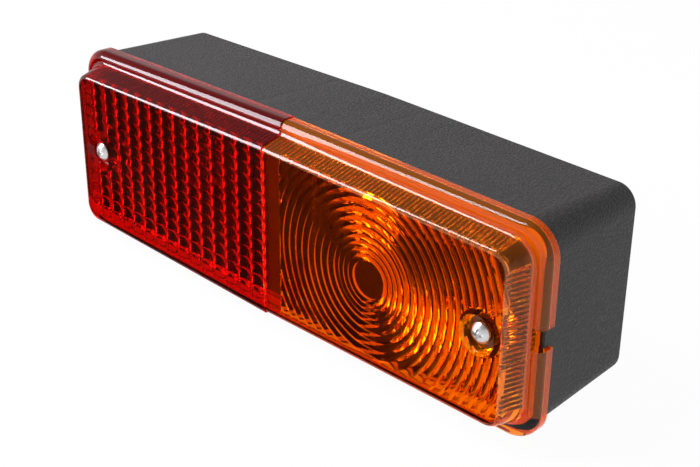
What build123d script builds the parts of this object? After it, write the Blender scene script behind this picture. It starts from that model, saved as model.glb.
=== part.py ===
from build123d import *
import os
from math import radians, sin, tan

# Tail lamp cluster: a two-colour lens on a moulded box that holds two bayonet bulbs.
# Sizes are in millimetres. The origin is the middle of the mounting face, X runs along
# the lamp to its amber end, Y runs into the vehicle and Z is up, so the lens faces -Y.
# Depths are measured forward from the mounting face.

# Overall form
LAMP_DEPTH = 68.5
CROWN_DROP = 1.7  # how far the long edges fall from the seam to the ends

# Lens shell
LENS_LENGTH = 256.6
LENS_HEIGHT = 87.6
FLANGE_CORNER = 12.5
FLANGE_DEPTH = 7.5
FLANGE_WALL = 5.6  # front of the flange to the seat on the gasket
FLANGE_STEP = 5.5  # flange edge to the foot of the dome
FLANGE_ROUND = 3.2
DOME_RISE = 9.9
DOME_DRAFT = 14.0
DOME_CORNER = 7.0
DOME_ROUND = 1.8
STEP_FILLET = 2.0
LENS_WALL = 2.6
SKIRT_WALL = 2.2
SEAM_PROUD = 0.45  # how far the red half stands proud of the amber half
SEAM_MARGIN = 10.0  # how far each half is drawn past the seam before it is cut there

# Red optics: pillows in upright columns and level rows, round-backed both ways
COLUMN_PITCH = 7.8
COLUMN_COUNT = 16
COLUMN_TILT = 40.0  # lean of a pillow's back at its side edges
ROW_PITCH = 5.2
ROW_COUNT = 14
ROW_TILT = 26.0  # lean of a pillow's back at its upper and lower edges

# Amber optics: stepped rings about a plain disc, each thickest at its inner edge
RING_CENTRE = 55.5  # seam to the middle of the rings
RING_DISC = 7.6
RING_FINE_PITCH = 2.5
RING_FINE_COUNT = 4
RING_PITCH = 3.5
RING_COUNT = 11
RING_TILT = 18.0
RING_MARGIN = 8.3  # plain strip beside the seam

# Lens screws and their wells
SCREW_SPACING = 216.7
WELL_MOUTH = 15.5
WELL_FLOOR = 12.4
WELL_DEPTH = 3.8
BOSS_DIAMETER = 12.0
SCREW_DIAMETER = 4.0
SCREW_LENGTH = 30.0
HEAD_DIAMETER = 8.0
HEAD_HEIGHT = 2.8
HEAD_RIM = 0.9
RECESS_SPAN = 4.6
RECESS_WIDTH = 1.1
RECESS_DEPTH = 1.5
SEAL_THICKNESS = 0.8
INSERT_DIAMETER = 6.0
INSERT_LENGTH = 10.0

# Housing
HOUSING_LENGTH = 245.2
HOUSING_HEIGHT = 79.4
HOUSING_CORNER = 8.0
HOUSING_DRAFT = 3.0
HOLLOW_DRAFT = 1.8
HOUSING_WALL = 2.5
BACK_WALL = 3.0
BACK_ROUND = 1.5
PARTITION_SPACING = 49.0
PARTITION_WALL = 2.5
PARTITION_SETBACK = 4.6  # partition edge behind the lens's inner face
GASKET_THICKNESS = 1.2
GASKET_WIDTH = 1.9
GASKET_EDGE = 0.3

# Locating notch in the amber flange and the housing lug in it
NOTCH_HEIGHT = 8.4
NOTCH_DEPTH = 4.2
NOTCH_CENTRE = 1.0
LUG_REACH = 1.0
LUG_RISE = 3.6

# Bayonet bulbs and holders, measured along the bulb from its pins
BULB_DEPTH = 31.0
LIGHT_CENTRE = 59.4  # seam to the filament
PIN_TO_FILAMENT = 31.8
CAP_DIAMETER = 15.0
CAP_BELOW_PINS = 6.8
CAP_ABOVE_PINS = 11.0
CAP_WALL = 0.5
PIN_DIAMETER = 2.0
PIN_REACH = 1.0
GLASS_DIAMETER = 25.0
GLASS_NECK = 12.6
GLASS_NECK_BLEND = 4.0
GLASS_WALL = 0.8
STEM_DIAMETER = 6.0
STEM_LENGTH = 12.0
FILAMENT_LENGTH = 6.0
FILAMENT_DIAMETER = 0.9
TWIN_FILAMENT_SPACING = 2.4
TWIN_FILAMENT_STAGGER = 3.6
LEAD_DIAMETER = 0.5
LEAD_SPACING = 4.8
SOLDER_DIAMETER = 5.0
TWIN_SOLDER_DIAMETER = 3.5
SOLDER_HEIGHT = 1.0
HOLDER_WALL = 0.8
HOLDER_FRONT = 7.0
HOLDER_FLANGE = 27.0
HOLDER_FLANGE_WALL = 1.0
SLOT_WIDTH = 2.6
SLOT_HOOK = 3.9  # how far the slot runs round to its lead-in
INSULATOR_THICKNESS = 2.0
SPRING_LENGTH = 2.6
SPRING_DIAMETER = 10.5
SPRING_WIRE = 0.8
CONTACT_DIAMETER = 14.0
CONTACT_THICKNESS = 0.8
CONTACT_NIB = 0.8
NIB_DIAMETER = 3.2
TWIN_CONTACT_SPACING = 7.0
BLADE_WIDTH = 6.3
BLADE_THICKNESS = 0.8
BLADE_LENGTH = 7.0
BLADE_TIP = 1.2
RIVET_DIAMETER = 2.4
RIVET_HEAD = 4.2
RIVET_HEAD_HEIGHT = 0.8
RIVET_SPACING = 21.6
STRAP_WIDTH = 4.0
STRAP_THICKNESS = 0.8
STRAP_BRIDGE_DEPTH = 16.0  # depth of the strap's bridge between the partitions

# Cable inlet and studs in the back wall
GROMMET_BORE = 8.0
GROMMET_HOLE = 13.0
GROMMET_FLANGE = 18.0
GROMMET_LIP = 1.6
GROMMET_BOSS = 25.0
STUD_SPACING = 152.0
STUD_DIAMETER = 6.0
STUD_LENGTH = 20.0
STUD_NECK = 7.2  # plain neck in the back wall
STUD_HEAD_FLATS = 10.0
STUD_HEAD_HEIGHT = 4.0
STUD_POINT = 0.8

# Clearances
SKIRT_CLEARANCE = 0.3
SHOULDER_GAP = 0.3
NOTCH_CLEARANCE = 0.4
SLIP = 0.05
TOUCH = 0.05  # how near an edge lies to count as touching
SHANK_CLEARANCE = 0.3
CAP_CLEARANCE = 0.15
DOME_CLEARANCE = 0.8
OVERLAP = 0.4  # how far added features reach into the wall that carries them

# Places worked out from the sizes above
flange_front = LAMP_DEPTH - DOME_RISE
flange_back = flange_front - FLANGE_DEPTH
flange_inside = flange_front - FLANGE_WALL
housing_depth = flange_back - SHOULDER_GAP
spigot_top = flange_inside - GASKET_THICKNESS
dome_lean = DOME_RISE * tan(radians(DOME_DRAFT))
lens_half_length = LENS_LENGTH / 2
lens_half_height = LENS_HEIGHT / 2
spigot_inset = SKIRT_WALL + SKIRT_CLEARANCE
partition_face = (PARTITION_SPACING + PARTITION_WALL) / 2
pin_place = LIGHT_CENTRE - PIN_TO_FILAMENT
holder_seat = partition_face - pin_place
holder_bore = CAP_DIAMETER / 2 + CAP_CLEARANCE
holder_radius = holder_bore + HOLDER_WALL
cap_end = -CAP_BELOW_PINS - SOLDER_HEIGHT
contact_back = cap_end - CONTACT_NIB - CONTACT_THICKNESS
insulator_front = contact_back - SPRING_LENGTH
holder_back = insulator_front - INSULATOR_THICKNESS
boss_top = housing_depth
screw_x = SCREW_SPACING / 2


def at_depth(depth):
    """Plane facing forward at a depth in front of the mounting face."""
    return Plane.XZ.offset(depth)


def crowned_outline(half_length, half_height, corner):
    """Long outline whose upper and lower edges fall from the middle to the ends."""
    end = half_height - CROWN_DROP
    points = [(-half_length, -end), (0, -half_height), (half_length, -end)]
    points += [(half_length, end), (0, half_height), (-half_length, end)]
    face = make_face(Polyline(*points, close=True))
    ends = [v for v in face.vertices() if abs(v.X) > half_length / 2]
    return fillet(ends, corner)


def half_outline(side, half_length, half_height, corner):
    """The crowned outline from one end to a little past the seam."""
    slope = CROWN_DROP / half_length
    end = half_height - CROWN_DROP
    past = half_height + slope * SEAM_MARGIN
    tip = side * half_length
    start = -side * SEAM_MARGIN
    face = make_face(Polyline((start, -past), (tip, -end), (tip, end), (start, past), close=True))
    ends = [v for v in face.vertices() if abs(v.X) > half_length / 2]
    return fillet(ends, corner)


def block(low, high):
    """Box between two corners."""
    size = [b - a for a, b in zip(low, high)]
    middle = [(a + b) / 2 for a, b in zip(low, high)]
    return Pos(*middle) * Box(*size)


def rod(radius, start, end):
    """Round bar along X."""
    return Pos((start + end) / 2, 0, 0) * Rot(0, 90, 0) * Cylinder(radius, end - start)


def post(x, z, radius, back, front):
    """Round bar along the lamp's depth."""
    return extrude(at_depth(back) * Pos(x, z) * Circle(radius), front - back)


def seam_side(side):
    """Everything on one side of the seam plane."""
    ends = sorted((0, side * LENS_LENGTH))
    return block((ends[0], -2 * LAMP_DEPTH, -LENS_HEIGHT), (ends[1], LAMP_DEPTH, LENS_HEIGHT))


def dome_foot(side, inset, wall):
    """Outline at the foot of the dome, shrunk by a wall."""
    step = FLANGE_STEP + wall
    corner = DOME_CORNER + dome_lean - wall
    return half_outline(side, lens_half_length - step, lens_half_height - inset - step, corner)


def dome(side, inset, wall):
    """Drafted dome on the flange's front plane, shrunk by a wall."""
    foot = at_depth(flange_front - inset) * dome_foot(side, inset, wall)
    return extrude(foot, DOME_RISE - wall, taper=DOME_DRAFT)


def lens_hollow(side, inset, wall):
    """Hollow behind the lens face, open to the back of the flange."""
    throat = at_depth(flange_back) * dome_foot(side, inset, wall)
    return extrude(throat, FLANGE_DEPTH - inset) + dome(side, inset, wall)


def front_edges(shape, side):
    """Edges of the foremost face, apart from the one past the seam."""
    return [e for e in shape.edges().group_by(Axis.Y)[0] if side * e.center().X > TOUCH - SEAM_MARGIN]


def lens_shell(side, inset):
    """Half lens: stepped flange, drafted dome, rounded edges and a hollow back."""
    rim = half_outline(side, lens_half_length, lens_half_height - inset, FLANGE_CORNER)
    flange = extrude(at_depth(flange_back) * rim, FLANGE_DEPTH - inset)
    flange = fillet(front_edges(flange, side), min(FLANGE_ROUND, FLANGE_STEP - STEP_FILLET - TOUCH))
    shell = flange + dome(side, inset, 0)
    foot = (at_depth(flange_front - inset) * dome_foot(side, inset, 0)).edges()
    foot = [e for e in foot if side * e.center().X > TOUCH - SEAM_MARGIN]
    step = [e for e in shell.edges() if any(f.distance_to(e @ 0.5) < TOUCH for f in foot)]
    shell = fillet(step, STEP_FILLET)
    shell = fillet(front_edges(shell, side), DOME_ROUND)
    shell -= lens_hollow(side, inset, LENS_WALL)
    skirt = half_outline(
        side, lens_half_length - SKIRT_WALL, lens_half_height - SKIRT_WALL, FLANGE_CORNER - SKIRT_WALL
    )
    shell -= extrude(at_depth(flange_back) * skirt, flange_inside - flange_back)
    return shell & seam_side(side)


def optics_space(side, inset):
    """Space in which a half's optics may stand, reaching a little into the shell."""
    return lens_hollow(side, inset, LENS_WALL - OVERLAP) & seam_side(side)


def red_optics():
    """Pillows: a chain of arcs across the columns, turned about each row's own level axis."""
    half = COLUMN_PITCH / 2
    bulge = half * tan(radians(COLUMN_TILT / 2))
    swell = ROW_PITCH / 2 * tan(radians(ROW_TILT / 2))
    valley = LENS_WALL + swell - LAMP_DEPTH
    base = LENS_WALL - OVERLAP - LAMP_DEPTH
    edges = []
    for column in range(COLUMN_COUNT):
        start = -column * COLUMN_PITCH
        crest = (start - half, valley + bulge)
        edges.append(ThreePointArc((start, valley), crest, (start - COLUMN_PITCH, valley)))
    end = -COLUMN_COUNT * COLUMN_PITCH
    edges.append(Polyline((end, valley), (end, base), (0, base), (0, valley)))
    row_axis = Axis((0, valley + bulge - ROW_PITCH / 2 / sin(radians(ROW_TILT)), 0), (1, 0, 0))
    turn = 4 * ROW_TILT
    row = revolve(make_face(edges).rotate(row_axis, -turn / 2), row_axis, turn)
    row &= block((end, -LAMP_DEPTH, -ROW_PITCH / 2), (0, 0, ROW_PITCH / 2))
    lowest = (1 - ROW_COUNT) * ROW_PITCH / 2
    rows = [Pos(0, 0, lowest + number * ROW_PITCH) * row for number in range(ROW_COUNT)]
    return Part() + rows & optics_space(-1, 0)


def amber_optics():
    """Stepped rings round the plain disc, fine near the middle and coarser outside, each cut to the
    space behind the lens face and ending at a plain strip beside the seam."""
    face = LAMP_DEPTH - SEAM_PROUD - LENS_WALL
    base = face + OVERLAP
    strip = block((RING_MARGIN, -LAMP_DEPTH, -LENS_HEIGHT), (LENS_LENGTH, 0, LENS_HEIGHT))
    space = strip & optics_space(1, SEAM_PROUD)
    radius = RING_DISC
    rings = []
    for number in range(RING_FINE_COUNT + RING_COUNT):
        pitch = RING_FINE_PITCH if number < RING_FINE_COUNT else RING_PITCH
        crest = face - pitch * tan(radians(RING_TILT))
        points = [(radius, base), (radius, crest), (radius + pitch, face), (radius + pitch, base)]
        profile = make_face(Polyline(*[(r, -d) for r, d in points], close=True))
        rings.append(Pos(RING_CENTRE, 0, 0) * revolve(profile, Axis.Y) & space)
        radius += pitch
    return Part() + rings


def with_screw_well(shell, x, front):
    """Lens shell with a screw well in its face and a tube behind it."""
    floor = front - WELL_DEPTH
    shell += post(x, 0, WELL_MOUTH / 2 + LENS_WALL / 2, floor - LENS_WALL, front - LENS_WALL / 2)
    shell += post(x, 0, BOSS_DIAMETER / 2, boss_top + SHOULDER_GAP, floor)
    mouth = at_depth(front) * Pos(x, 0) * Circle(WELL_MOUTH / 2)
    shell -= loft([mouth, at_depth(floor) * Pos(x, 0) * Circle(WELL_FLOOR / 2)])
    return shell - post(x, 0, SCREW_DIAMETER / 2 + SHANK_CLEARANCE, flange_back, front)


def red_lens():
    """Red half of the lens."""
    return with_screw_well(lens_shell(-1, 0) + red_optics(), -screw_x, LAMP_DEPTH)


def amber_lens():
    """Amber half of the lens, with the locating notch in its end flange."""
    lens = with_screw_well(
        lens_shell(1, SEAM_PROUD) + amber_optics(), screw_x, LAMP_DEPTH - SEAM_PROUD
    )
    reach = lens_half_length - NOTCH_DEPTH
    low = (reach, -flange_front - SHOULDER_GAP, NOTCH_CENTRE - NOTCH_HEIGHT / 2)
    high = (LENS_LENGTH, -flange_back + SHOULDER_GAP, NOTCH_CENTRE + NOTCH_HEIGHT / 2)
    return lens - block(low, high)


def housing_space():
    """Hollow of the housing, from the back wall to the mouth of the spigot."""
    rear = crowned_outline(
        HOUSING_LENGTH / 2 - HOUSING_WALL, HOUSING_HEIGHT / 2 - HOUSING_WALL, HOUSING_CORNER - HOUSING_WALL
    )
    return extrude(at_depth(BACK_WALL) * rear, spigot_top - BACK_WALL, taper=-HOLLOW_DRAFT)


def partitions(space):
    """Two walls that close off the middle bay and carry the bulb holders."""
    front = LAMP_DEPTH - SEAM_PROUD - LENS_WALL - PARTITION_SETBACK
    tongue = lens_half_height - FLANGE_STEP - LENS_WALL - dome_lean - CROWN_DROP - DOME_CLEARANCE
    walls = Part()
    for side in (-1, 1):
        middle = side * PARTITION_SPACING / 2
        near = middle - PARTITION_WALL / 2
        far = middle + PARTITION_WALL / 2
        lower = block((near, -spigot_top, -HOUSING_HEIGHT), (far, 0, HOUSING_HEIGHT))
        walls += lower & space
        walls += block((near, -front, -tongue), (far, -spigot_top, tongue))
        hole = holder_radius + SLIP
        walls -= Pos(middle, -BULB_DEPTH, 0) * Rot(0, 90, 0) * Cylinder(hole, 2 * PARTITION_WALL)
        for level in (-1, 1):
            place = Pos(middle, -BULB_DEPTH, level * RIVET_SPACING / 2)
            walls -= place * Rot(0, 90, 0) * Cylinder(RIVET_DIAMETER / 2 + SLIP, 2 * PARTITION_WALL)
    return walls


def housing():
    """Drafted box with a spigot for the lens, partitions, bosses and back holes."""
    rear = crowned_outline(HOUSING_LENGTH / 2, HOUSING_HEIGHT / 2, HOUSING_CORNER)
    box = extrude(at_depth(0) * rear, housing_depth, taper=-HOUSING_DRAFT)
    box = fillet(box.edges().group_by(Axis.Y)[-1], BACK_ROUND)
    spigot = crowned_outline(
        lens_half_length - spigot_inset, lens_half_height - spigot_inset, FLANGE_CORNER - spigot_inset
    )
    box += extrude(at_depth(housing_depth) * spigot, spigot_top - housing_depth)
    space = housing_space()
    box -= space
    box += partitions(space)
    for x in (-screw_x, screw_x):
        box += post(x, 0, BOSS_DIAMETER / 2, BACK_WALL / 2, boss_top)
        box -= post(x, 0, INSERT_DIAMETER / 2 + SLIP, boss_top - INSERT_LENGTH, boss_top)
        box -= post(x, 0, SCREW_DIAMETER / 2 + SHANK_CLEARANCE, screw_tip() - SHANK_CLEARANCE, boss_top)
    for x in (-STUD_SPACING / 2, STUD_SPACING / 2):
        box -= post(x, 0, STUD_NECK / 2 + SLIP, 0, BACK_WALL)
    box += post(0, 0, GROMMET_BOSS / 2, GROMMET_LIP, BACK_WALL + GROMMET_LIP)
    box -= post(0, 0, GROMMET_FLANGE / 2 + SLIP, 0, GROMMET_LIP)
    box -= post(0, 0, GROMMET_HOLE / 2 + SLIP, 0, BACK_WALL + GROMMET_LIP)
    return box + locating_lug()


def locating_lug():
    """Lug on the housing's end that stands in the lens flange's notch."""
    half = NOTCH_HEIGHT / 2 - NOTCH_CLEARANCE
    low = (lens_half_length - spigot_inset, -housing_depth - LUG_RISE, NOTCH_CENTRE - half)
    reach = lens_half_length - LUG_REACH - SKIRT_CLEARANCE
    high = (reach, -housing_depth + SHOULDER_GAP, NOTCH_CENTRE + half)
    return block(low, high)


def screw_tip():
    """Depth of the lens screws' tips, taken at the deeper, amber half."""
    return LAMP_DEPTH - SEAM_PROUD - WELL_DEPTH + SEAL_THICKNESS - SCREW_LENGTH


def lens_gasket():
    """Sealing ring on the spigot's front edge."""
    outer = spigot_inset + GASKET_EDGE
    inner = outer + GASKET_WIDTH
    band = crowned_outline(lens_half_length - outer, lens_half_height - outer, FLANGE_CORNER - outer)
    band -= crowned_outline(lens_half_length - inner, lens_half_height - inner, FLANGE_CORNER - inner)
    return extrude(at_depth(spigot_top) * band, GASKET_THICKNESS)


def lens_screw(x, front):
    """Pan-head screw with a cross recess."""
    seat = front - WELL_DEPTH + SEAL_THICKNESS
    crown = HEAD_HEIGHT - HEAD_RIM
    ball = (HEAD_DIAMETER ** 2 / 4 + crown ** 2) / (2 * crown)
    head = Pos(0, 0, HEAD_HEIGHT / 2) * Cylinder(HEAD_DIAMETER / 2, HEAD_HEIGHT)
    head &= Pos(0, 0, HEAD_HEIGHT - ball) * Sphere(ball)
    for turn in (0, 90):
        recess = Pos(0, 0, HEAD_HEIGHT - RECESS_DEPTH / 2) * Box(RECESS_SPAN, RECESS_WIDTH, RECESS_DEPTH)
        head -= Rot(0, 0, turn) * recess
    shank = Pos(0, 0, -SCREW_LENGTH / 2) * Cylinder(SCREW_DIAMETER / 2, SCREW_LENGTH)
    return at_depth(seat) * Pos(x, 0, 0) * (head + shank)


def ring(x, outer, inner, back, front):
    """Plain ring along the lamp's depth."""
    return post(x, 0, outer, back, front) - post(x, 0, inner, back, front)


def lens_fronts():
    """Screw places with the depth of the lens face at each."""
    return ((-screw_x, LAMP_DEPTH), (screw_x, LAMP_DEPTH - SEAM_PROUD))


def lens_screws():
    """The two lens screws."""
    return [lens_screw(x, front) for x, front in lens_fronts()]


def screw_seals():
    """Sealing washers between the screw heads and the well floors."""
    inner = SCREW_DIAMETER / 2 + SLIP
    seals = []
    for x, front in lens_fronts():
        floor = front - WELL_DEPTH
        seals.append(ring(x, HEAD_DIAMETER / 2, inner, floor, floor + SEAL_THICKNESS))
    return seals


def screw_inserts():
    """Threaded inserts sunk flush in the housing's screw bosses."""
    inner = SCREW_DIAMETER / 2 + SLIP
    back = boss_top - INSERT_LENGTH
    return [ring(x, INSERT_DIAMETER / 2, inner, back, boss_top) for x in (-screw_x, screw_x)]


def bulb_place(piece, side):
    """Moves a piece made along the bulb's axis to the amber or the red side."""
    piece = Pos(pin_place, -BULB_DEPTH, 0) * piece
    return piece if side > 0 else mirror(piece, about=Plane.YZ)


def contact_levels(twin):
    """Heights of the contacts: one on the axis, or a pair about it."""
    return (-TWIN_CONTACT_SPACING / 2, TWIN_CONTACT_SPACING / 2) if twin else (0,)


def socket():
    """Bayonet holder: flanged tube with two hooked slots for the bulb's pins."""
    tube = rod(holder_radius, holder_back, HOLDER_FRONT)
    tube += rod(HOLDER_FLANGE / 2, holder_seat, holder_seat + HOLDER_FLANGE_WALL)
    tube -= rod(holder_bore, holder_back, HOLDER_FRONT)
    half = SLOT_WIDTH / 2
    reach = holder_radius + PIN_REACH
    for side in (-1, 1):
        walls = sorted((side * holder_bore / 2, side * reach))
        hook = sorted((-side * half, side * SLOT_HOOK))
        lead = sorted((side * (SLOT_HOOK - SLOT_WIDTH), side * SLOT_HOOK))
        tube -= block((-half, walls[0], hook[0]), (half, walls[1], hook[1]))
        tube -= block((-half, walls[0], lead[0]), (HOLDER_FRONT, walls[1], lead[1]))
    for level in (-1, 1):
        hole = Pos(0, 0, level * RIVET_SPACING / 2) * rod(
            RIVET_DIAMETER / 2 + SLIP, holder_seat, holder_seat + HOLDER_FLANGE_WALL
        )
        tube -= hole
    return tube


def insulator(twin):
    """Disc that closes the holder's back, slotted for the terminal blades."""
    disc = rod(holder_bore - SLIP, holder_back, insulator_front)
    for level in contact_levels(twin):
        disc -= block(
            (holder_back, -BLADE_WIDTH / 2 - SLIP, level - BLADE_THICKNESS / 2 - SLIP),
            (insulator_front, BLADE_WIDTH / 2 + SLIP, level + BLADE_THICKNESS / 2 + SLIP),
        )
    return disc


def contact_spring():
    """Compression spring between the insulator and the contact plate."""
    turns_length = SPRING_LENGTH - SPRING_WIRE
    path = Helix(turns_length / 2, turns_length, SPRING_DIAMETER / 2)
    wire = sweep(Plane(path @ 0, z_dir=path % 0) * Circle(SPRING_WIRE / 2), path)
    return Pos(insulator_front + SPRING_WIRE / 2, 0, 0) * Rot(0, 90, 0) * wire


def contact(twin):
    """Sprung plate with a nib for each solder contact of the bulb."""
    plate = rod(CONTACT_DIAMETER / 2, contact_back, contact_back + CONTACT_THICKNESS)
    for level in contact_levels(twin):
        plate += Pos(0, 0, level) * rod(NIB_DIAMETER / 2, contact_back + CONTACT_THICKNESS / 2, cap_end)
    return plate


def terminals(twin):
    """Blade terminals through the insulator, each with a rounded tip."""
    blades = []
    for level in contact_levels(twin):
        low = (holder_back - BLADE_LENGTH, -BLADE_WIDTH / 2, level - BLADE_THICKNESS / 2)
        high = (insulator_front, BLADE_WIDTH / 2, level + BLADE_THICKNESS / 2)
        blade = block(low, high)
        tips = blade.edges().filter_by(Axis.Z).group_by(Axis.X)[0]
        blades.append(chamfer(tips, BLADE_TIP))
    return blades


def bulb_cap(twin):
    """Cap of the bulb with its two bayonet pins and its solder contacts."""
    radius = CAP_DIAMETER / 2
    cap = rod(radius, -CAP_BELOW_PINS, CAP_ABOVE_PINS)
    cap -= rod(radius - CAP_WALL, CAP_WALL, CAP_ABOVE_PINS)
    reach = radius + PIN_REACH
    solder = TWIN_SOLDER_DIAMETER if twin else SOLDER_DIAMETER
    for side in (-1, 1):
        pin = Rot(90, 0, 0) * Cylinder(PIN_DIAMETER / 2, PIN_REACH + CAP_WALL)
        cap += Pos(0, side * (reach - (PIN_REACH + CAP_WALL) / 2), 0) * pin
    for level in contact_levels(twin):
        cap += Pos(0, 0, level) * rod(solder / 2, cap_end, -CAP_BELOW_PINS / 2)
    return cap


def envelope(inset):
    """Round bulb blended into a narrow neck, shrunk by a wall."""
    foot = CAP_WALL + SLIP + inset
    neck = GLASS_NECK / 2 - inset
    length = PIN_TO_FILAMENT - foot
    outline = Pos(PIN_TO_FILAMENT, 0) * Circle(GLASS_DIAMETER / 2 - inset)
    outline += Pos(foot + length / 2, 0) * Rectangle(length, 2 * neck)
    throat = [v for v in outline.vertices() if foot + TOUCH < v.X < PIN_TO_FILAMENT - TOUCH]
    outline = fillet(throat, GLASS_NECK_BLEND + inset)
    upper = Pos(PIN_TO_FILAMENT, GLASS_DIAMETER / 2) * Rectangle(2 * PIN_TO_FILAMENT, GLASS_DIAMETER)
    return revolve(outline & upper, Axis.X)


def bulb_glass():
    """Blown envelope closed by a pressed stem."""
    foot = CAP_WALL + SLIP
    stem = rod(STEM_DIAMETER / 2, foot + GLASS_WALL / 2, foot + STEM_LENGTH)
    return envelope(0) - envelope(GLASS_WALL) + stem


def bulb_filament(twin):
    """Filament coils held across pairs of lead wires from the stem."""
    start = CAP_WALL + SLIP + STEM_LENGTH
    spread = TWIN_FILAMENT_SPACING / 2
    places = [(0, -spread), (TWIN_FILAMENT_STAGGER, spread)] if twin else [(0, 0)]
    coils = []
    for back, offset in places:
        reach = PIN_TO_FILAMENT - back
        coil = Pos(reach, 0, 0) * Cylinder(FILAMENT_DIAMETER / 2, FILAMENT_LENGTH)
        for level in (-LEAD_SPACING / 2, LEAD_SPACING / 2):
            coil += Pos(0, 0, level) * rod(LEAD_DIAMETER / 2, start, reach)
        coils.append(Pos(0, offset, 0) * coil)
    return coils


def socket_rivets():
    """Rivets through the holder flanges and the partitions."""
    rivets = []
    back = holder_seat - PARTITION_WALL
    for side in (-1, 1):
        for level in (-1, 1):
            seat = back - STRAP_THICKNESS if level < 0 else back
            front = holder_seat + HOLDER_FLANGE_WALL
            rivet = rod(RIVET_DIAMETER / 2, seat, front)
            rivet += rod(RIVET_HEAD / 2, front, front + RIVET_HEAD_HEIGHT)
            rivet += rod(RIVET_HEAD / 2, seat - RIVET_HEAD_HEIGHT, seat)
            rivets.append(bulb_place(Pos(0, 0, level * RIVET_SPACING / 2) * rivet, side))
    return rivets


def earth_strap():
    """Strip bent between the partitions, riveted to both bulb holders."""
    inside = PARTITION_SPACING / 2 - PARTITION_WALL / 2
    level = -RIVET_SPACING / 2
    low = level - STRAP_WIDTH / 2
    high = level + STRAP_WIDTH / 2
    top = BULB_DEPTH + STRAP_WIDTH / 2
    strap = block((-inside, -STRAP_BRIDGE_DEPTH - STRAP_THICKNESS, low), (inside, -STRAP_BRIDGE_DEPTH, high))
    for side in (-1, 1):
        ends = sorted((side * inside, side * (inside - STRAP_THICKNESS)))
        tab = block((ends[0], -top, low), (ends[1], -STRAP_BRIDGE_DEPTH, high))
        hole = Pos(side * inside, -BULB_DEPTH, level) * Rot(0, 90, 0)
        strap += tab
        strap -= hole * Cylinder(RIVET_DIAMETER / 2 + SLIP, 4 * STRAP_THICKNESS)
    return strap


def cable_grommet():
    """Rubber grommet, flush with the mounting face, with a flange each side of the wall."""
    wall_front = BACK_WALL + GROMMET_LIP
    body = post(0, 0, GROMMET_HOLE / 2, 0, wall_front + GROMMET_LIP)
    body += post(0, 0, GROMMET_FLANGE / 2, 0, GROMMET_LIP)
    body += post(0, 0, GROMMET_FLANGE / 2, wall_front, wall_front + GROMMET_LIP)
    return body - post(0, 0, GROMMET_BORE / 2, 0, wall_front + GROMMET_LIP)


def mounting_studs():
    """Hexagon-head studs through the back wall, heads inside."""
    studs = []
    for x in (-STUD_SPACING / 2, STUD_SPACING / 2):
        hexagon = RegularPolygon(STUD_HEAD_FLATS / 2, 6, major_radius=False)
        head = extrude(at_depth(BACK_WALL) * Pos(x, 0) * hexagon, STUD_HEAD_HEIGHT)
        neck = post(x, 0, STUD_NECK / 2, 0, BACK_WALL)
        shank = post(x, 0, STUD_DIAMETER / 2, -STUD_LENGTH, 0)
        point = shank.edges().group_by(Axis.Y)[-1]
        studs.append(head + neck + chamfer(point, STUD_POINT))
    return studs


def save(node, shape):
    """Writes one node, a single solid or a group of separate ones."""
    if isinstance(shape, list):
        shape = Compound(children=shape)
    export_step(shape, "parts/" + node + ".step")


def main():
    os.makedirs("parts", exist_ok=True)
    save("housing", housing())
    save("red_lens", red_lens())
    save("amber_lens", amber_lens())
    save("lens_gasket", lens_gasket())
    save("lens_screws", lens_screws())
    save("screw_seals", screw_seals())
    save("screw_inserts", screw_inserts())
    for name, side, twin in (("stop", -1, True), ("turn", 1, False)):
        save(name + "_socket", bulb_place(socket(), side))
        save(name + "_insulator", bulb_place(insulator(twin), side))
        save(name + "_spring", bulb_place(contact_spring(), side))
        save(name + "_contact", bulb_place(contact(twin), side))
        save(name + "_terminals", [bulb_place(b, side) for b in terminals(twin)])
        save(name + "_bulb_cap", bulb_place(bulb_cap(twin), side))
        save(name + "_bulb_glass", bulb_place(bulb_glass(), side))
        save(name + "_bulb_filament", [bulb_place(c, side) for c in bulb_filament(twin)])
    save("socket_rivets", socket_rivets())
    save("earth_strap", earth_strap())
    save("cable_grommet", cable_grommet())
    save("mounting_studs", mounting_studs())


main()
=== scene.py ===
"""Looks of a tail lamp: a clear red and amber lens with moulded optics on a grained dark housing.

Sizes are in millimetres here and become metres when a mesh is made. X runs along the lamp to
its amber end, Y into the vehicle and Z up. Depths are measured forward from the mounting face,
so a point at a depth has that depth as its minus Y.
"""
from math import cos, pi, radians, sin, tan

import bmesh
import bpy
import numpy as np
from mathutils import Matrix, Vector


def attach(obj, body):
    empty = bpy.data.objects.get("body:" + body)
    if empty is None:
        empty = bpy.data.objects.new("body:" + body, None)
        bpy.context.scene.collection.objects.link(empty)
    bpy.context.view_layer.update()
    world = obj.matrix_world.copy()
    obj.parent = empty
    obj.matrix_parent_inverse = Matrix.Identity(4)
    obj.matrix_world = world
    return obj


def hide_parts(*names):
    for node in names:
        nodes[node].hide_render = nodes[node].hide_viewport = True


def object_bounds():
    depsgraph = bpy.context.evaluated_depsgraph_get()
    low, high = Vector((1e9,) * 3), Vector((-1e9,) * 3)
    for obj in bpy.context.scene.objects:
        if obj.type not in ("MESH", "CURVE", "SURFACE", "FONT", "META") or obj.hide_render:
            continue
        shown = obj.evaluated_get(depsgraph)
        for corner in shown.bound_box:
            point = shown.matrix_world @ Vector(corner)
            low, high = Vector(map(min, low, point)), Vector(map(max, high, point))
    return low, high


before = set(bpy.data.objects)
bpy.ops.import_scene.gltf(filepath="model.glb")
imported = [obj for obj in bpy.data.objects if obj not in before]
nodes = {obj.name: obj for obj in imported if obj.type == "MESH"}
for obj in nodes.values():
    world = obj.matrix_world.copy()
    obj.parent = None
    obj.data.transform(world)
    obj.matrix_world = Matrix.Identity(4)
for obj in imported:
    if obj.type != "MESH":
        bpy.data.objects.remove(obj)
cad_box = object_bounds()

MM = 0.001

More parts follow.
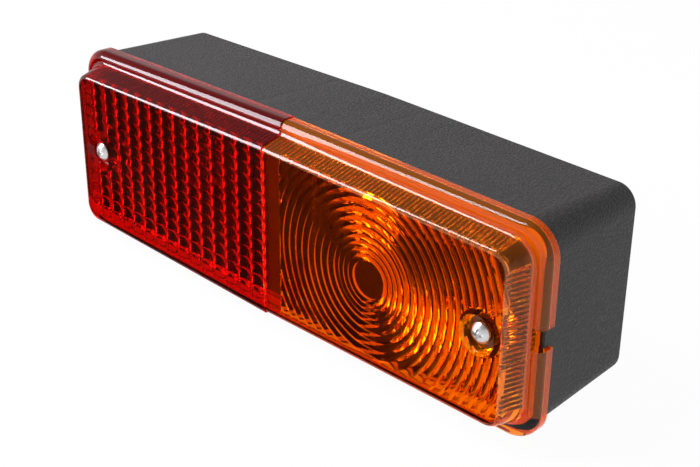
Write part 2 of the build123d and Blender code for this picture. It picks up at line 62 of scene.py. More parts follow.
# Lens shell
LAMP_DEPTH = 68.5
CROWN_DROP = 1.7
HALF_LENGTH = 128.3
HALF_HEIGHT = 43.8
FLANGE_CORNER = 12.5
FLANGE_DEPTH = 7.5
FLANGE_WALL = 5.6
FLANGE_STEP = 5.5
FLANGE_ROUND = 3.2
DOME_RISE = 9.9
DOME_DRAFT = 14.0
DOME_CORNER = 7.0
DOME_ROUND = 1.8
STEP_FILLET = 2.0
LENS_WALL = 2.6
SKIRT_WALL = 2.2
SKIRT_EDGE = 0.3
SEAM_PROUD = 0.45
SEAM_GAP = 0.01
FACE_BAND = 0.5
ROUND_STEPS = 8
RIM_STEPS = 9
CORNER_STEPS = 13
SEAM_STEPS = 90

# Red optics
COLUMN_PITCH = 7.8
COLUMN_TILT = 40.0
COLUMN_STEPS = 32
ROW_PITCH = 5.2
ROW_TILT = 26.0
ROW_STEPS = 8
FOOT_BAND = 5.0
FOOT_SHARE = 0.3

# Amber optics
RING_CENTRE = 55.5
RING_DISC = 7.6
RING_FINE_PITCH = 2.5
RING_FINE_COUNT = 4
RING_PITCH = 3.5
RING_COUNT = 14
RING_TILT = 24.0
RING_CURVE = 24.0
RING_STEPS = 4
RING_RISER = 0.03
RING_MARGIN = 8.3

# Lens plastic: each colour is the share of light that passes one skin, but the red along the foot and
# the amber of the walls are lightened beyond that as painted light
LENS_IOR = 1.49
WALL_IOR = 1.3
RED = (0.62, 0.012, 0.008)
# Lighter, clearer red on the lens's lower run: painted light for the bright band along the bottom that
# light from below gives
RED_FOOT_PAINTED_LIGHT = (0.97, 0.03, 0.02)
AMBER = (0.96, 0.26, 0.008)
# Lighter, yellower amber on the walls, flange and foot than on the face: painted light for the
# brightness that the walls catch
AMBER_WALL_PAINTED_LIGHT = (1.0, 0.5, 0.02)
FLANGE_GLOSS = 0.55

# Dust on the front face
RED_DUST = (0.7, 0.15, 0.1)
AMBER_DUST = (0.9, 0.17, 0.02)

# Order of the finishes of a lens half
WALL, SEAM, FACE, FLANGE, INSIDE, LAP, STEP, SEAT, FOOT, FOOT_SEAT, EDGE = range(11)

# Fine ribs inside the dome's wall
RIB_PITCH = 1.95
RIB_TILT = 45.0
RIB_STEPS = 5
RIB_CLEAR = 0.6

# Screw wells and the locating notch
SCREW_PLACE = 108.35
WELL_MOUTH = 15.5
WELL_FLOOR = 12.4
WELL_DEPTH = 3.8
BOSS_DIAMETER = 12.0
SHANK_HOLE = 4.6
NOTCH_HEIGHT = 8.4
NOTCH_DEPTH = 4.2
NOTCH_CENTRE = 1.0
TOOL_MARGIN = 1.0
TURN_STEPS = 96

# Meshes
WELD_GAP = 0.002
SLIVER = 0.001
SHARP_ANGLE = 28.0

# Sink marks over the housing's inner walls
SINK_PLACES = (-24.5, 24.5)
SINK_WIDTH = 2.2

# Camera
CAMERA_AZIMUTH = 45.131
CAMERA_ELEVATION = 26.431
CAMERA_ROLL = 0.507
CAMERA_DISTANCE = 536.01
CAMERA_AIM = (18.1, -38.5, -4.2)
CAMERA_LENS = 69.94

# Studio, in metres and watts
KEY_PLACE = (-0.65, -0.6, 0.5)
KEY_SIZE = (0.3, 1.8)
KEY_POWER = 27
KEY_TINT = (0.97, 0.94, 1.0)
FLOOR_REACH = 3
FLOOR_GLOW = 0.97
LIGHT_BOUNCES = 32

flange_front = LAMP_DEPTH - DOME_RISE
flange_back = flange_front - FLANGE_DEPTH
draft = tan(radians(DOME_DRAFT))
turn = radians(90 - DOME_DRAFT)


class Wire:
    """A socket in a node tree. Sums on it add Math nodes, and node adds any other kind."""

    def __init__(self, tree, socket=None):
        self.tree = tree
        self.socket = socket

    def node(self, kind, settings=None, inputs=None, output=0):
        """New node of a kind, with its settings and the values or wires of its inputs."""
        made = self.tree.nodes.new(kind)
        for name, value in (settings or {}).items():
            setattr(made, name, value)
        for name, value in (inputs or {}).items():
            self.feed(made.inputs[name], value)
        return Wire(self.tree, made.outputs[output])

    def feed(self, socket, value):
        """Links a wire to a socket, or sets the socket to a plain value."""
        if isinstance(value, Wire):
            self.tree.links.new(value.socket, socket)
        else:
            socket.default_value = value

    def maths(self, operation, *values):
        """Math node of an operation on values and wires."""
        return self.node("ShaderNodeMath", {"operation": operation}, dict(enumerate(values)))

    def __add__(self, other):
        return self.maths("ADD", self, other)

    def __sub__(self, other):
        return self.maths("SUBTRACT", self, other)

    def __rsub__(self, other):
        return self.maths("SUBTRACT", other, self)

    def __mul__(self, other):
        return self.maths("MULTIPLY", self, other)

    def __truediv__(self, other):
        return self.maths("DIVIDE", self, other)

    def __rtruediv__(self, other):
        return self.maths("DIVIDE", other, self)

    def __pow__(self, other):
        return self.maths("POWER", self, other)

    __radd__ = __add__
    __rmul__ = __mul__

    def noise(self, scale, detail=2.0):
        """Soft noise of the coordinates that this wire carries."""
        inputs = {"Vector": self, "Scale": scale, "Detail": detail}
        return self.node("ShaderNodeTexNoise", {}, inputs, "Fac")

    def between(self, low, high):
        """Colour between two tones by this wire's value."""
        tones = {0: self, 6: (*low, 1), 7: (*high, 1)}
        return self.node("ShaderNodeMix", {"data_type": "RGBA"}, tones, 2)

    def bump(self, depth, strength=1.0):
        """Normal from this wire's value as a height, with the depth in millimetres."""
        inputs = {"Height": self, "Distance": depth * MM, "Strength": strength}
        return self.node("ShaderNodeBump", {}, inputs)


def start_material(name):
    """New material with its shader and the object's own coordinates in metres."""
    material = bpy.data.materials.new(name)
    material.use_nodes = True
    tree = material.node_tree
    place = Wire(tree).node("ShaderNodeTexCoord", output="Object")
    return material, tree.nodes["Principled BSDF"], place


def dress(shader, place, **sockets):
    """Sets or links the shader's sockets, named with underscores for spaces."""
    for name, value in sockets.items():
        place.feed(shader.inputs[name.replace("_", " ")], value)


def lens_plastic(name, colour, clear=1.0, gloss=1.0, ior=LENS_IOR):
    """Clear coloured plastic, polished, with the faint haze of a moulded skin. The shader takes the
    colour's root at each pass, so the base colour is the square."""
    material, shader, place = start_material(name)
    haze = place.noise(60, 3)
    base = [tone ** 2 for tone in colour]
    dress(
        shader, place, Base_Color=(*base, 1), Roughness=haze * 0.02 + 0.008, IOR=ior,
        Transmission_Weight=clear, Specular_Tint=(gloss, gloss, gloss, 1),
    )
    return material


def lens_face(name, colour, dust, film):
    """Front face of the plastic: from outside it lets the light in without glare under a thin film of
    dust, and from inside it mirrors like the rest."""
    material = lens_plastic(name, colour, gloss=0.0)
    shaders = material.node_tree.nodes
    place = Wire(material.node_tree, shaders["Texture Coordinate"].outputs["Object"])
    bend = {"Color": (*colour, 1), "IOR": LENS_IOR, "Roughness": 0.01}
    inward = place.node("ShaderNodeBsdfRefraction", {}, bend)
    dull = place.node("ShaderNodeBsdfDiffuse", {}, {"Color": (*dust, 1)})
    cloud = place.noise(35, 3) * 2 * film
    outside = place.node("ShaderNodeMixShader", {}, {0: cloud, 1: inward, 2: dull})
    from_inside = place.node("ShaderNodeNewGeometry", output="Backfacing")
    mirror = Wire(place.tree, shaders["Principled BSDF"].outputs[0])
    both = place.node("ShaderNodeMixShader", {}, {0: from_inside, 1: outside, 2: mirror})
    place.feed(shaders["Material Output"].inputs["Surface"], both)
    return material


def bonded_seam(name):
    """The two colours are moulded onto each other, so light passes their joint unbent."""
    material, shader, place = start_material(name + "_seam")
    dress(shader, place, Alpha=0.0)
    return material


def housing_grain():
    """Matt dark grey moulding with a fine spark-eroded grain and soft sink marks over inner walls."""
    material, shader, place = start_material("housing_grain")
    grain = place.noise(1000, 2) * 5 - 2
    pores = place.noise(1800, 2)
    cloud = place.noise(28, 3)
    x = place.node("ShaderNodeSeparateXYZ", {}, {0: place}, "X")
    sinks = 0.0
    for middle in SINK_PLACES:
        away = (x / MM - middle) / SINK_WIDTH
        sinks = 1 / (1 + away * away) ** 2 + sinks
    tone = cloud * 0.35 + grain * 0.65
    height = grain * 0.5 + pores * 0.5 - sinks * 0.7
    dress(
        shader, place, Base_Color=tone.between((0.005, 0.0045, 0.0045), (0.05, 0.046, 0.046)),
        Roughness=grain * 0.2 + 0.5, Normal=height.bump(0.3, 0.9),
    )
    return material


def metal(name, bright, dull, rough, streak=1.0):
    """Plated or drawn metal: cloudy tarnish between two tones and a fine drawn texture."""
    material, shader, place = start_material(name)
    cloud = place.noise(240, 4)
    stretched = place.node("ShaderNodeMapping", {}, {"Vector": place, "Scale": (streak, 1, 1)})
    lines = stretched.noise(3000, 2)
    dress(
        shader, place, Base_Color=cloud.between(bright, dull), Metallic=1.0,
        Roughness=cloud * 0.15 + lines * 0.1 + rough, Normal=lines.bump(0.02, 0.4),
    )
    return material


def moulded(name, light, dark, rough, grain_scale, grain_depth):
    """Matt moulded or pressed stuff: mottled between two tones with a grain."""
    material, shader, place = start_material(name)
    grain = place.noise(grain_scale, 4)
    mottle = place.noise(grain_scale / 12, 3)
    dress(
        shader, place, Base_Color=(grain * 0.5 + mottle * 0.5).between(dark, light),
        Roughness=grain * 0.2 + rough, Normal=grain.bump(grain_depth, 0.6),
    )
    return material


def bulb_glass_finish():
    """Clear blown glass with a faint wave in its thickness."""
    material, shader, place = start_material("bulb_glass_finish")
    wave = place.noise(90, 1)
    dress(
        shader, place, Base_Color=(0.95, 0.97, 0.96, 1), Roughness=wave * 0.02 + 0.005, IOR=1.5,
        Transmission_Weight=1, Normal=wave.bump(0.1, 0.3),
    )
    return material


def mesh_solid(name, points, faces):
    """Mesh object of points in millimetres, its faces turned outward."""
    mesh = bpy.data.meshes.new(name)
    mesh.from_pydata(np.asarray(points) * MM, [], faces)
    form = bmesh.new()
    form.from_mesh(mesh)
    bmesh.ops.recalc_face_normals(form, faces=form.faces)
    form.to_mesh(mesh)
    form.free()
    solid = bpy.data.objects.new(name, mesh)
    bpy.context.scene.collection.objects.link(solid)
    return solid


def turned_solid(name, x, profile, finish):
    """Turned solid on an axis along the depth: a profile of (radius, depth) carried round a circle."""
    angle = np.arange(TURN_STEPS) * 2 * pi / TURN_STEPS
    radius, depth = np.array(profile).T
    points = np.stack([
        x + radius[:, None] * np.cos(angle),
        np.repeat(-depth[:, None], TURN_STEPS, 1),
        radius[:, None] * np.sin(angle),
    ], -1).reshape(-1, 3)
    index = np.arange(len(points)).reshape(len(profile), TURN_STEPS)
    beside = np.roll(index, -1, 1)
    quads = np.stack([index[:-1], index[1:], beside[1:], beside[:-1]], -1).reshape(-1, 4).tolist()
    solid = mesh_solid(name, points, quads + [index[0].tolist(), index[-1].tolist()])
    solid.data.polygons.foreach_set("material_index", [finish] * len(solid.data.polygons))
    return solid


def block_solid(name, low, high):
    """Block between two corners."""
    corner = np.array([(i >> 2 & 1, i >> 1 & 1, i & 1) for i in range(8)])
    points = np.where(corner, high, low)
    faces = [(0, 1, 3, 2), (4, 6, 7, 5), (0, 4, 5, 1), (2, 3, 7, 6), (0, 2, 6, 4), (1, 5, 7, 3)]
    return mesh_solid(name, points, faces)


def screw_well(x, front):
    """Tools for a screw well: the tube behind the lens face, then the flared well and the hole."""
    floor = front - WELL_DEPTH
    collar = WELL_MOUTH / 2 + LENS_WALL / 2
    boss = BOSS_DIAMETER / 2
    tube = turned_solid("well_tube", x, [
        (collar, front - LENS_WALL / 2), (collar, floor - LENS_WALL),
        (boss, floor - LENS_WALL), (boss, flange_back),
    ], INSIDE)
    flare = (WELL_MOUTH - WELL_FLOOR) / 2 / WELL_DEPTH * TOOL_MARGIN
    well = turned_solid("well", x, [
        (WELL_MOUTH / 2 + flare, front + TOOL_MARGIN), (WELL_FLOOR / 2, floor),
        (SHANK_HOLE / 2, floor), (SHANK_HOLE / 2, flange_back - TOOL_MARGIN),
    ], WALL)
    return [("UNION", tube), ("DIFFERENCE", well)]


def locating_notch():
    """Tool for the notch in the amber end of the flange."""
    low = (HALF_LENGTH - NOTCH_DEPTH, -flange_front - TOOL_MARGIN, NOTCH_CENTRE - NOTCH_HEIGHT / 2)
    high = (HALF_LENGTH + TOOL_MARGIN, -flange_back + TOOL_MARGIN, NOTCH_CENTRE + NOTCH_HEIGHT / 2)
    return [("DIFFERENCE", block_solid("notch", low, high))]


def make_piece(name, points, faces, face_materials, materials, tools, node):
    """Piece that stands for a CAD node: welded, shaped by its tools, smooth but for its corners."""
    piece = mesh_solid(name, points, faces)
    mesh = piece.data
    for material in materials:
        mesh.materials.append(material)
    mesh.polygons.foreach_set("material_index", face_materials)
    form = bmesh.new()
    form.from_mesh(mesh)
    bmesh.ops.remove_doubles(form, verts=form.verts, dist=WELD_GAP * MM)
    bmesh.ops.dissolve_degenerate(form, edges=form.edges, dist=SLIVER * MM)
    bmesh.ops.recalc_face_normals(form, faces=form.faces)
    form.to_mesh(mesh)
    form.free()
    for operation, tool in tools:
        cut = piece.modifiers.new(tool.name, "BOOLEAN")
        cut.operation = operation
        cut.solver = "MANIFOLD"
        cut.object = tool
    bpy.context.view_layer.update()
    shaped = piece.evaluated_get(bpy.context.evaluated_depsgraph_get())
    piece.data = bpy.data.meshes.new_from_object(shaped)
    piece.modifiers.clear()
    for operation, tool in tools:
        bpy.data.objects.remove(tool)
    piece.data.shade_smooth()
    piece.data.set_sharp_from_angle(angle=radians(SHARP_ANGLE))
    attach(piece, "root")
    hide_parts(node)
    return piece


def outline(edge, length, height, corner):
    """Half outline from the seam over the end and back: straight runs and quarter rounds about
    the point (length - corner, height - corner), narrowed towards the end by the crown."""
    run, turned, rise, side = edge
    x = (length - corner) * run + corner * np.sin(turned)
    z = (height - corner) * rise + corner * side * np.cos(turned)
    return x, z * (1 - CROWN_DROP / height * x / length)


def arc(radius, start, stop, steps):
    """Points on an arc as pairs of (outward, forward) from its centre."""
    angle = np.linspace(start, stop, steps)
    return np.stack([radius * np.sin(angle), radius * np.cos(angle)], 1)


def outer_profile(low):
    """Section of the lens's outer skin as rows of (half length, half height, corner, depth), from inside
    the front face over the dome's round, its wall, the step's fillet and the flange to the skirt."""
    front = LAMP_DEPTH - low
    step_depth = flange_front - low
    height = HALF_HEIGHT - low
    foot = DOME_RISE * draft
    reach = DOME_ROUND * tan(turn / 2)
    span = STEP_FILLET * tan(turn / 2)
    dome = [(-reach - FACE_BAND, front)]
    for out, forward in arc(DOME_ROUND, 0, turn, ROUND_STEPS):
        dome.append((out - reach, front - DOME_ROUND + forward))
    for out, forward in arc(STEP_FILLET, turn, 0, ROUND_STEPS):
        dome.append((foot + span - out, step_depth + STEP_FILLET - forward))
    rim = []
    for out, forward in arc(FLANGE_ROUND, 0, pi / 2, RIM_STEPS):
        rim.append((out - FLANGE_ROUND, step_depth - FLANGE_ROUND + forward))
    rim += [(0, flange_back + SKIRT_EDGE), (-SKIRT_EDGE, flange_back)]
    top = (HALF_LENGTH - FLANGE_STEP - foot, height - FLANGE_STEP - foot, DOME_CORNER)
    rows = [(*(size + out for size in top), depth) for out, depth in dome]
    return rows + [(HALF_LENGTH + out, height + out, FLANGE_CORNER + out, depth) for out, depth in rim]


def inner_profile(low):
    """Section of the lens's inner skin, from the skirt's back edge to the edge of the inner face."""
    throat = FLANGE_STEP + LENS_WALL
    corner = DOME_CORNER + DOME_RISE * draft - LENS_WALL
    lean = (DOME_RISE - LENS_WALL) * draft
    length = HALF_LENGTH - throat
    height = HALF_HEIGHT - low - throat
    skirt = (HALF_LENGTH - SKIRT_WALL, HALF_HEIGHT - SKIRT_WALL, FLANGE_CORNER - SKIRT_WALL)
    seat = flange_front - FLANGE_WALL
    return [
        (*skirt, flange_back),
        (*skirt, seat),
        (length, height, corner, seat),
        (length, height, corner, flange_front - low),
        (length - lean, height - lean, corner - lean, LAMP_DEPTH - low - LENS_WALL),
    ]


def cushion(place, pitch, tilt):
    """Height of a round-backed rib: a circle's arc that leans by the tilt at both edges."""
    radius = pitch / 2 / sin(radians(tilt))
    return np.sqrt(radius ** 2 - (place * pitch) ** 2) - radius * cos(radians(tilt))


def wall_ribs(edge, low):
    """Height of the round-backed ribs along the upper straight run and the end of the half outline."""
    run, turned, rise, side = edge
    length, height, corner = inner_profile(low)[-1][:3]
    end = (height - corner) * (1 - CROWN_DROP / height)
    along = np.where(turned == 0, run * (length - corner), rise * end) / RIB_PITCH
    straight = (turned == 0) & (side > 0) | (turned > pi / 2 - 1e-6)
    return np.where(straight, cushion(along % 1 - 0.5, RIB_PITCH, RIB_TILT), 0)


def ribbed_outline(edge, section, low):
    """Half outline of an inner section, drawn in by the ribs."""
    x, z = outline(edge, *section[:3])
    ribs = wall_ribs(edge, low)
    return x - ribs * np.sin(edge[1]), z - ribs * edge[3] * np.cos(edge[1])


def lens_half(node, side, low, edge, inner, inner_faces, lapped, inner_rim, seam_run, materials, tools):
    """Closed half lens. The outer and inner sections are carried round the half outline, the front is
    one flat face, the inner face is the optics given as a surface with its rim in outline order and
    its faces that the red plastic laps, and the seam is one flat face across the section."""
    flange = 2 * ROUND_STEPS + 1
    skirt = len(outer_profile(low))
    skin = outer_profile(low) + inner_profile(low)[:2]
    throat = inner_profile(low)[2:4]
    walls = [outline(edge, *section[:3]) for section in skin]
    walls += [ribbed_outline(edge, section, low) for section in throat]
    depths = [section[3] for section in skin + throat]
    rings = [np.stack([x, np.full_like(x, -depth), z], 1) for (x, z), depth in zip(walls, depths)]
    count = len(edge[0])
    base = len(rings) * count
    points = np.concatenate(rings + [inner])
    loops = np.vstack([np.arange(base).reshape(len(rings), count), base + inner_rim])
    quads = np.stack([loops[:-1, :-1], loops[1:, :-1], loops[1:, 1:], loops[:-1, 1:]], -1).reshape(-1, 4)
    faces = quads.tolist() + (inner_faces + base).tolist()
    faces.append(loops[0].tolist())
    faces.append(loops[:, 0].tolist() + (base + seam_run).tolist() + loops[::-1, -1].tolist())
    points[:, 0] = side * np.maximum(points[:, 0], SEAM_GAP)
    rows = np.full(len(rings), EDGE)
    rows[0] = FACE
    rows[ROUND_STEPS] = WALL
    rows[flange - 1] = STEP
    rows[flange:skirt] = FLANGE
    rows[skirt:] = (SEAT, SEAT, INSIDE, INSIDE)
    skins = np.repeat(rows[:, None], count - 1, 1)
    lower = edge[3][1:] < 0
    skins[1:skirt, lower] = FOOT
    skins[skirt : skirt + 2, lower] = FOOT_SEAT
    optics = np.where(lapped, LAP, INSIDE)
    index = np.concatenate([skins.ravel(), optics, (FACE, SEAM)])
    tools = screw_well(side * SCREW_PLACE, LAMP_DEPTH - low) + tools
    return make_piece(node + "_moulding", points, faces, index, materials, tools, node)


def pillow_relief(x, z):
    """Depth of the red optics: an arc across each column, turned about the row's own level axis so
    that the pillow is round-backed both ways."""
    bulge = COLUMN_PITCH / 2 * tan(radians(COLUMN_TILT / 2))
    swell = ROW_PITCH / 2 * tan(radians(ROW_TILT / 2))
    radius = ROW_PITCH / 2 / sin(radians(ROW_TILT))
    rib = cushion(x / COLUMN_PITCH % 1 - 0.5, COLUMN_PITCH, COLUMN_TILT)
    level = (z / ROW_PITCH % 1 - 0.5) * ROW_PITCH
    return swell + bulge - radius + np.sqrt((radius - bulge + rib) ** 2 - level ** 2)


def half_height_at(x, length, height, corner):
    """Half height of an outline at a distance from the seam."""
    over = np.clip(x - (length - corner), 0, corner)
    rise = height - corner + np.sqrt(corner ** 2 - over ** 2)
    return rise * (1 - CROWN_DROP / height * x / length)


def red_lens(materials):
    """Red half: the inner face is a grid of columns and rows clipped to its ribbed outline."""
    length, height, corner, depth = inner_profile(0)[-1]
    straight = np.arange(0, length - corner, COLUMN_PITCH / COLUMN_STEPS)
    quarter = np.linspace(0, pi / 2, CORNER_STEPS)
    columns = np.concatenate([straight, length - corner + corner * np.sin(quarter)])
    step = ROW_PITCH / ROW_STEPS
    levels = np.arange(-int(height / step) - 1, int(height / step) + 2) * step
    limit = half_height_at(columns, length, height, corner)
    run = np.clip(columns / (length - corner), 0, 1)
    turned = np.arcsin(np.clip((columns - (length - corner)) / corner, 0, 1))
    end = np.clip(levels, -limit[-1], limit[-1]) / limit[-1]
    up, over = np.ones_like(columns), np.ones_like(levels)
    edge = (
        np.concatenate([run, over, run[::-1]]),
        np.concatenate([turned, over * pi / 2, turned[::-1]]),
        np.concatenate([up, end[::-1], -up]),
        np.concatenate([up, over, -up]),
    )
    drawn_in = wall_ribs(edge, 0)
    reach = (limit - drawn_in[: len(columns)])[:, None]
    x = np.repeat(columns[:, None], len(levels), 1)
    z = np.clip(levels[None, :], -reach, reach)
    z[:, 0], z[:, -1] = -reach[:, 0], reach[:, 0]
    x[-1] -= drawn_in[len(columns) : len(columns) + len(levels)][::-1]
    relief = pillow_relief(x, z) * np.where(z < FOOT_BAND - reach, FOOT_SHARE, 1)
    inner = np.stack([x, relief - depth, z], -1).reshape(-1, 3)
    index = np.arange(len(inner)).reshape(x.shape)
    quads = np.stack([index[:-1, :-1], index[1:, :-1], index[1:, 1:], index[:-1, 1:]], -1).reshape(-1, 4)
    rim = np.concatenate([index[:, -1], index[-1, ::-1], index[::-1, 0]])
    plain = np.zeros(len(quads), bool)
    return lens_half("red_lens", -1, 0, edge, inner, quads, plain, rim, index[0, ::-1], materials, [])


def ring_relief(radius):
    """Depth of the amber optics: rings that are thickest at their inner edge and fall at one tilt to
    their outer edge, with a back that bulges from this fall by a shallow arc."""
    fine = radius - RING_DISC
    wide = fine - RING_FINE_COUNT * RING_FINE_PITCH
    pitch = np.where(wide < -1e-6, RING_FINE_PITCH, RING_PITCH)
    left = pitch - np.where(wide < -1e-6, fine, wide) % pitch
    ringed = (radius > RING_DISC) & (wide < RING_COUNT * RING_PITCH)
    bulge = left * (pitch - left) / pitch * tan(radians(RING_CURVE / 2))
    return np.where(ringed, left * tan(radians(RING_TILT)) + bulge, 0)


def amber_lens(materials):
    """Amber half: the inner face is a fan of rays from the light centre, clipped to its ribbed outline
    and plain in a strip beside the seam."""
    length, height, corner, depth = inner_profile(SEAM_PROUD)[-1]
    step = RIB_PITCH / RIB_STEPS
    straight = np.append(np.arange(0, length - corner, step) / (length - corner), 1)
    quarter = np.linspace(0, pi / 2, CORNER_STEPS + 1)[1:-1]
    end = np.linspace(1, -1, int(2 * (height - corner) / step))
    up, bend, over = np.ones_like(straight), np.ones_like(quarter), np.ones_like(end)
    edge = (
        np.concatenate([straight, bend, over, bend, straight[::-1]]),
        np.concatenate([up * 0, quarter, over * pi / 2, quarter[::-1], up * 0]),
        np.concatenate([up, bend, end, -bend, -up]),
        np.concatenate([up, bend, over, -bend, -up]),
    )
    rim_x, rim_z = ribbed_outline(edge, inner_profile(SEAM_PROUD)[-1], SEAM_PROUD)
    clear_x, clear_z = outline(edge, length - RIB_CLEAR, height - RIB_CLEAR, corner - RIB_CLEAR)
    seam_z = np.linspace(-1, 1, SEAM_STEPS)[1:-1]
    flat = np.zeros_like(seam_z)
    loop_x, loop_z = np.append(clear_x, flat), np.append(clear_z, seam_z * clear_z[0])
    rim_x, rim_z = np.append(rim_x, flat), np.append(rim_z, seam_z * rim_z[0])
    reach = np.hypot(loop_x - RING_CENTRE, loop_z)
    to_x, to_z = (loop_x - RING_CENTRE) / reach, loop_z / reach
    in_strip = loop_x < RING_MARGIN
    limit = np.where(in_strip, (RING_CENTRE - RING_MARGIN) / np.maximum(-to_x, 1e-6), reach)
    pitches = [RING_FINE_PITCH] * RING_FINE_COUNT + [RING_PITCH] * RING_COUNT
    starts = RING_DISC + np.cumsum([0] + pitches)
    parts = np.arange(1, RING_STEPS) / RING_STEPS
    backs = starts[:-1, None] + np.diff(starts)[:, None] * parts
    steps = np.stack([starts - RING_RISER, starts + 1e-4], 1)
    radii = np.sort(np.concatenate([[0], steps.ravel(), backs.ravel()]))
    spread = np.minimum(radii[:, None], limit)
    x = np.vstack([RING_CENTRE + spread * to_x, RING_CENTRE + limit * to_x, rim_x])
    z = np.vstack([spread * to_z, limit * to_z, rim_z])
    ridge = ring_relief(np.hypot(x - RING_CENTRE, z))
    ridge[-2:, in_strip] = 0
    inner = np.stack([x, ridge - depth, z], -1).reshape(-1, 3)
    index = np.arange(len(inner)).reshape(x.shape)
    beside = np.roll(index, -1, 1)
    quads = np.stack([index[:-1], index[1:], beside[1:], beside[:-1]], -1).reshape(-1, 4)
    rim, seam_run = index[-1, : len(clear_x)], index[-1, len(clear_x) :][::-1]
    lapped = np.zeros(len(quads), bool)
    lapped[-len(reach) :] = in_strip
    return lens_half(
        "amber_lens", 1, SEAM_PROUD, edge, inner, quads, lapped, rim, seam_run, materials,
        locating_notch(),
    )


def lens_finishes(name, face, wall, foot, dust):
    """Finishes of a lens half in their order: walls, seam, front face, flange, inside, the strip where
    the red plastic laps behind the seam, step, matt seat, the clearer wall and the seat along the foot,
    and the round edges. The outer skin carries the colour. The foot's colour, and for amber the wall's,
    is a lighter copy of the plastic: painted light for the light that these parts catch."""
    glow = [tone ** 2 for tone in wall]
    return [
        lens_plastic(name + "_plastic", wall, clear=0.9, ior=WALL_IOR),
        bonded_seam(name),
        lens_face(name + "_face", face, dust, film=0.01),
        lens_plastic(name + "_flange", wall, clear=0.82, gloss=FLANGE_GLOSS),
        lens_plastic(name + "_inside", (1, 1, 1)),
        lens_plastic(name + "_lap", RED, clear=0.8),
        lens_face(name + "_step", wall, glow, film=0.2),
        lens_plastic(name + "_seat", wall, clear=0.3),
        lens_plastic(name + "_foot", foot, ior=WALL_IOR),
        lens_plastic(name + "_foot_seat", foot, clear=0.2),
        lens_plastic(name + "_edge", wall, clear=0.9),
    ]


# The red's foot and the amber's walls take lighter copies of their plastic, as painted light
red_lens(lens_finishes("red", RED, RED, RED_FOOT_PAINTED_LIGHT, RED_DUST))
amber_lens(lens_finishes("amber", AMBER, AMBER_WALL_PAINTED_LIGHT, AMBER_WALL_PAINTED_LIGHT, AMBER_DUST))

bright_zinc = metal("bright_zinc", (0.74, 0.74, 0.74), (0.55, 0.55, 0.56), 0.16)
drawn_steel = metal("drawn_steel", (0.42, 0.42, 0.43), (0.25, 0.25, 0.26), 0.3, 0.1)
dull_brass = metal("dull_brass", (0.36, 0.27, 0.12), (0.2, 0.15, 0.08), 0.4)
nickel_plate = metal("nickel_plate", (0.4, 0.38, 0.34), (0.24, 0.23, 0.21), 0.35)
filament_wire = metal("filament_wire", (0.3, 0.3, 0.31), (0.2, 0.2, 0.2), 0.4)
black_rubber = moulded("black_rubber", (0.025, 0.025, 0.026), (0.014, 0.014, 0.014), 0.55, 2400, 0.05)
pressed_board = moulded("pressed_board", (0.2, 0.1, 0.045), (0.12, 0.055, 0.025), 0.6, 1500, 0.06)
clear_bulb = bulb_glass_finish()
grained_box = housing_grain()

finishes = {
    "housing": grained_box,
    "lens_screws": bright_zinc,
    "mounting_studs": bright_zinc,
    "lens_gasket": black_rubber,
    "screw_seals": black_rubber,
    "cable_grommet": black_rubber,
    "earth_strap": dull_brass,
    "screw_inserts": dull_brass,
    "socket_rivets": dull_brass,
}
for lamp in ("stop", "turn"):
    finishes[lamp + "_socket"] = nickel_plate
    finishes[lamp + "_insulator"] = pressed_board
    finishes[lamp + "_spring"] = drawn_steel
    finishes[lamp + "_contact"] = dull_brass
    finishes[lamp + "_terminals"] = dull_brass
    finishes[lamp + "_bulb_cap"] = nickel_plate
    finishes[lamp + "_bulb_glass"] = clear_bulb
    finishes[lamp + "_bulb_filament"] = filament_wire
for name, finish in finishes.items():
    nodes[name].data.materials.clear()
    nodes[name].data.materials.append(finish)


def pointed(thing, place, back, up):
    """Puts a camera or lamp at a place, looking against the back direction with its own up."""
    back = np.array(back) / np.linalg.norm(back)
    right = np.cross(up, back)
    right /= np.linalg.norm(right)
    matrix = np.eye(4)
    matrix[:3, :3] = np.stack([right, np.cross(back, right), back], 1)
    matrix[:3, 3] = place
    thing.matrix_world = Matrix(matrix)
    bpy.context.scene.collection.objects.link(thing)


def camera():
    """Camera at the viewing angle, from the amber end, above and in front."""
    azimuth, elevation, roll = (radians(a) for a in (CAMERA_AZIMUTH, CAMERA_ELEVATION, CAMERA_ROLL))
    back = np.array([sin(azimuth) * cos(elevation), -cos(azimuth) * cos(elevation), sin(elevation)])
    right = np.cross((0, 0, 1), back) / cos(elevation)
    up = cos(roll) * np.cross(back, right) - sin(roll) * right
    data = bpy.data.cameras.new("camera")
    data.lens = CAMERA_LENS
    data.sensor_width = 36
    data.clip_start = 0.01
    view = bpy.data.objects.new("camera", data)
    pointed(view, (np.array(CAMERA_AIM) + back * CAMERA_DISTANCE) * MM, back, up)
    bpy.context.scene.camera = view


def softbox(name, place, size, power, colour):
    """Soft rectangular lamp that faces the object."""
    data = bpy.data.lights.new(name, "AREA")
    data.shape = "RECTANGLE"
    data.size, data.size_y = size
    data.energy = power
    data.color = colour
    pointed(bpy.data.objects.new(name, data), place, place, (0, 0, 1))


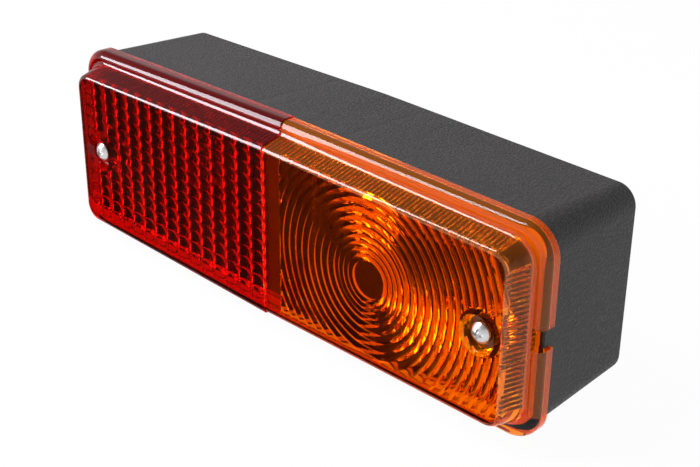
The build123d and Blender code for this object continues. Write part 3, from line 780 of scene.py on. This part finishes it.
def studio():
    """White surroundings that darken overhead, and a white floor that keeps the lamp's soft shadow."""
    world = bpy.data.worlds.new("studio")
    bpy.context.scene.world = world
    world.use_nodes = True
    sky = Wire(world.node_tree)
    look = sky.node("ShaderNodeTexCoord", output="Generated")
    height = sky.node("ShaderNodeSeparateXYZ", {}, {0: look}, "Z")
    fall = {"Value": height, "From Min": 0.3, "From Max": 0.65, "To Min": 0.8, "To Max": 0.25}
    light = sky.node("ShaderNodeMapRange", {"interpolation_type": "SMOOTHSTEP"}, fall)
    sky.feed(world.node_tree.nodes["Background"].inputs["Strength"], light)
    sky.feed(world.node_tree.nodes["Background"].inputs["Color"], (1, 1, 1, 1))

    material, shader, place = start_material("white_floor")
    fleck = place.noise(30, 2)
    dress(shader, place, Base_Color=fleck.between((0.88, 0.88, 0.88), (0.9, 0.9, 0.9)), Roughness=0.9)
    rays = ("Is Camera Ray", "Is Glossy Ray", "Is Transmission Ray")
    seen = 0.0
    for ray in rays:
        seen = place.node("ShaderNodeLightPath", output=ray) + seen
    glow = place.node("ShaderNodeEmission", {}, {"Strength": 1.0})
    share = place.maths("MINIMUM", seen, 1.0) * FLOOR_GLOW
    lit = Wire(place.tree, shader.outputs[0])
    both = place.node("ShaderNodeMixShader", {}, {0: share, 1: lit, 2: glow})
    place.feed(material.node_tree.nodes["Material Output"].inputs["Surface"], both)
    low = cad_box[0][2]
    mesh = bpy.data.meshes.new("floor")
    corners = [(-1, -1), (1, -1), (1, 1), (-1, 1)]
    mesh.from_pydata([(x * FLOOR_REACH, y * FLOOR_REACH, low) for x, y in corners], [], [(0, 1, 2, 3)])
    mesh.materials.append(material)
    floor = bpy.data.objects.new("floor", mesh)
    bpy.context.scene.collection.objects.link(floor)


camera()
softbox("key_softbox", KEY_PLACE, KEY_SIZE, KEY_POWER, KEY_TINT)
studio()

scene = bpy.context.scene
scene.view_settings.view_transform = "Standard"
scene.cycles.max_bounces = LIGHT_BOUNCES
scene.cycles.glossy_bounces = LIGHT_BOUNCES
scene.cycles.transmission_bounces = LIGHT_BOUNCES
